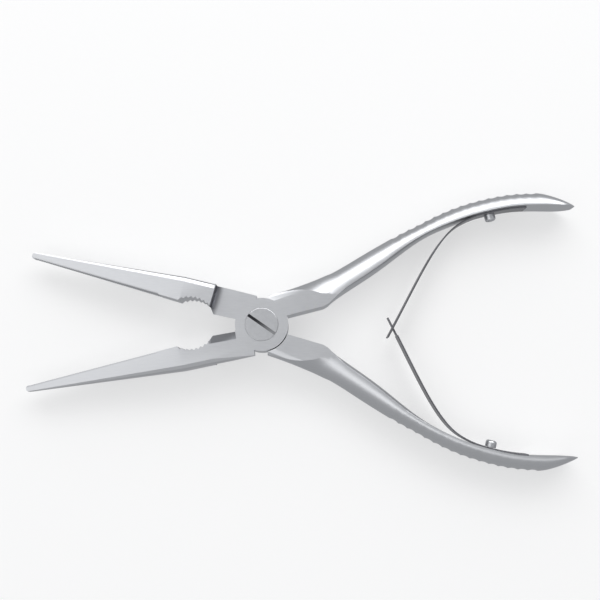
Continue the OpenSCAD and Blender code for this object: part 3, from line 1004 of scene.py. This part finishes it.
print("finishes:", sorted(m.name for m in bpy.data.materials if m.users))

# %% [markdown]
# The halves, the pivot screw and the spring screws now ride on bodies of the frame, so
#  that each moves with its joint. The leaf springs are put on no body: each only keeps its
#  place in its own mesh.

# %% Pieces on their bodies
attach(front, "front_body")
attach(back, "back_body")
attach(pivot, "back_body")
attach(upper_screw, "front_body")
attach(lower_screw, "back_body")
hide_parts("front_half")
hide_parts("back_half")
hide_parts("pivot_screw")
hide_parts("upper_spring_screw")
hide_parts("lower_spring_screw")
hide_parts("upper_leaf_foot", "upper_leaf_blade")
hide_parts("lower_leaf_foot", "lower_leaf_blade")
for piece, body, leaf, joint, side in (
        (upper_leaf, "front_body", "upper_leaf", "upper_leaf_bend", 1),
        (lower_leaf, "back_body", "lower_leaf", "lower_leaf_bend", -1)):
    slope = math.radians(30)
    way = Vector((-math.cos(slope), -side * math.sin(slope), 0))
    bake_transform(piece)

# %% [markdown]
# The floor is a wide pale plane just under the tool. It glows a little by itself, so that
# the shadows on it stay pale, and it is left out of the steel's reflections. The camera
# looks down almost straight, leaning a little from the side of the lower handle. Its lens
# is worked out from the width of the field that it takes in at the joint.

# %% Floor
FLOOR_SIZE, FLOOR_DROP, FLOOR_GLOW = 16, 0.0002, 0.5
bpy.ops.object.select_all(action="DESELECT")
bpy.ops.mesh.primitive_plane_add(size=FLOOR_SIZE, location=(0, 0, -FLOOR_DROP))
floor = new_piece("floor")
floor_paint = bpy.data.materials.new("pale_floor")
floor_paint.use_nodes = True
paper = floor_paint.node_tree.nodes["Principled BSDF"].inputs
paper["Base Color"].default_value = (0.5, 0.5, 0.5, 1)
paper["Roughness"].default_value = 0.9
paper["Emission Color"].default_value = (1, 1, 1, 1)
paper["Emission Strength"].default_value = FLOOR_GLOW
floor.data.materials.append(floor_paint)
floor.visible_glossy = False
print("floor:", FLOOR_SIZE, "m wide")

# %% Camera
DISTANCE, FIELD = 0.300, 0.1884
ELEVATION, ROLL = math.radians(84), math.radians(0.92)
AIM = Vector((0.0119, 0.00785, THICK * MM))
away = Vector((0, -math.cos(ELEVATION), math.sin(ELEVATION)))
bpy.ops.object.camera_add()
camera = bpy.context.object
camera.name = "camera"
camera.data.lens = camera.data.sensor_width * DISTANCE / FIELD
right = (-away).cross(Vector((0, 0, 1))).normalized()
up = right.cross(-away)
frame_right = right * math.cos(ROLL) + up * math.sin(ROLL)
frame_up = up * math.cos(ROLL) - right * math.sin(ROLL)
camera.matrix_world = (Matrix.Translation(AIM + away * DISTANCE)
                       @ Matrix((frame_right, frame_up, away)).transposed().to_4x4())
bpy.context.scene.camera = camera
print("lens:", round(camera.data.lens, 1), "mm")

# %% [markdown]
# Steel shows what stands around it, so the lights are placed by what each face reflects.
# A large soft panel hangs overhead, towards the jaws' side, and gives the flat faces their
# light grey. A wide panel and a brighter one stand beyond the upper handle, for its broad
# highlight. A narrow one stands before the lower handle. The room itself is dim grey.


# %% Lights
def panel(name, place, size, brightness, aim=(0, 0, 0)):
    bpy.ops.object.light_add(type="AREA", location=place)
    lamp = bpy.context.object
    lamp.name = name
    lamp.data.shape = "RECTANGLE"
    lamp.data.size, lamp.data.size_y = size
    lamp.data.energy = brightness * size[0] * size[1] * math.pi
    lamp.rotation_euler = (Vector(aim) - Vector(place)).to_track_quat("-Z", "Y").to_euler()


panel("overhead", (-0.75, -0.2, 1.3), (1.8, 1.3), 0.56)
panel("upper_side", (0.1, 1.0, 0.75), (2.2, 1.3), 1.1)
panel("upper_highlight", (0.1, 0.9, 0.78), (1.8, 0.45), 1.5)
panel("lower_side", (0.1, -0.75, 1.25), (2.2, 0.4), 0.55)
world = bpy.data.worlds.new("room")
bpy.context.scene.world = world
world.use_nodes = True
world.node_tree.nodes["Background"].inputs["Color"].default_value = (0.37, 0.375, 0.385, 1)
bpy.context.scene.view_settings.view_transform = "Standard"
